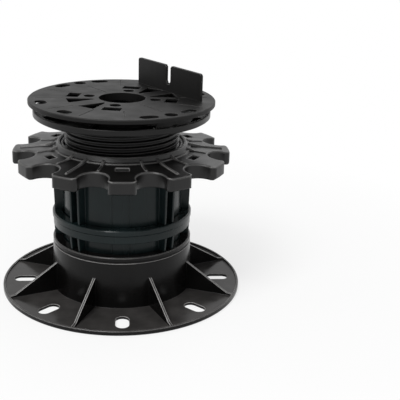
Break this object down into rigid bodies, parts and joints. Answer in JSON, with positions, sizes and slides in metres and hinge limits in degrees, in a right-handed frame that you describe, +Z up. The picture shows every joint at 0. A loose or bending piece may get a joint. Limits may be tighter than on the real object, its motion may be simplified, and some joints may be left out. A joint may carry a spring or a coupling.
{
  "type": "adjustable decking pedestal",
  "caption": "Black plastic decking pedestal: ribbed round base, plug-in extension rings, lobed adjusting nut on a threaded stem, and a turning head plate with an upright joist fin.",
  "frame": {"origin": "middle of the underside of the base flange, on the screw axis", "axes": "+Z up along the screw axis, -Y towards the viewer of the picture, +X to the viewer's right"},
  "size_m": [0.2, 0.2, 0.182],
  "materials": {
    "black_plastic": "satin moulded black",
    "ring_plastic": "satin moulded black, a little bluish"
  },
  "bodies": {
    "base": {"base": "black_plastic", "short_ring": "ring_plastic", "tall_ring": "ring_plastic"},
    "nut": {"adjusting_nut": "black_plastic"},
    "stem": {"threaded_stem": "black_plastic"},
    "head": {"head_plate": "black_plastic"}
  },
  "joints": [
    {"name": "nut_turn", "type": "hinge", "parent": "base", "child": "nut", "pos_m": [0, 0, 0.1145], "axis": [0, 0, 1], "range_deg": [-360, 1440]},
    {"name": "stem_lift", "type": "slide", "parent": "base", "child": "stem", "axis": [0, 0, 1], "range_m": [-0.01681, 0.00421]},
    {"name": "head_swivel", "type": "hinge", "parent": "stem", "child": "head", "pos_m": [0, 0, 0.16], "axis": [0, 0, 1], "continuous": true}
  ],
  "couplings": [
    {"joint": "stem_lift", "follows": "nut_turn", "m_per_rad": -0.00066845}
  ]
}
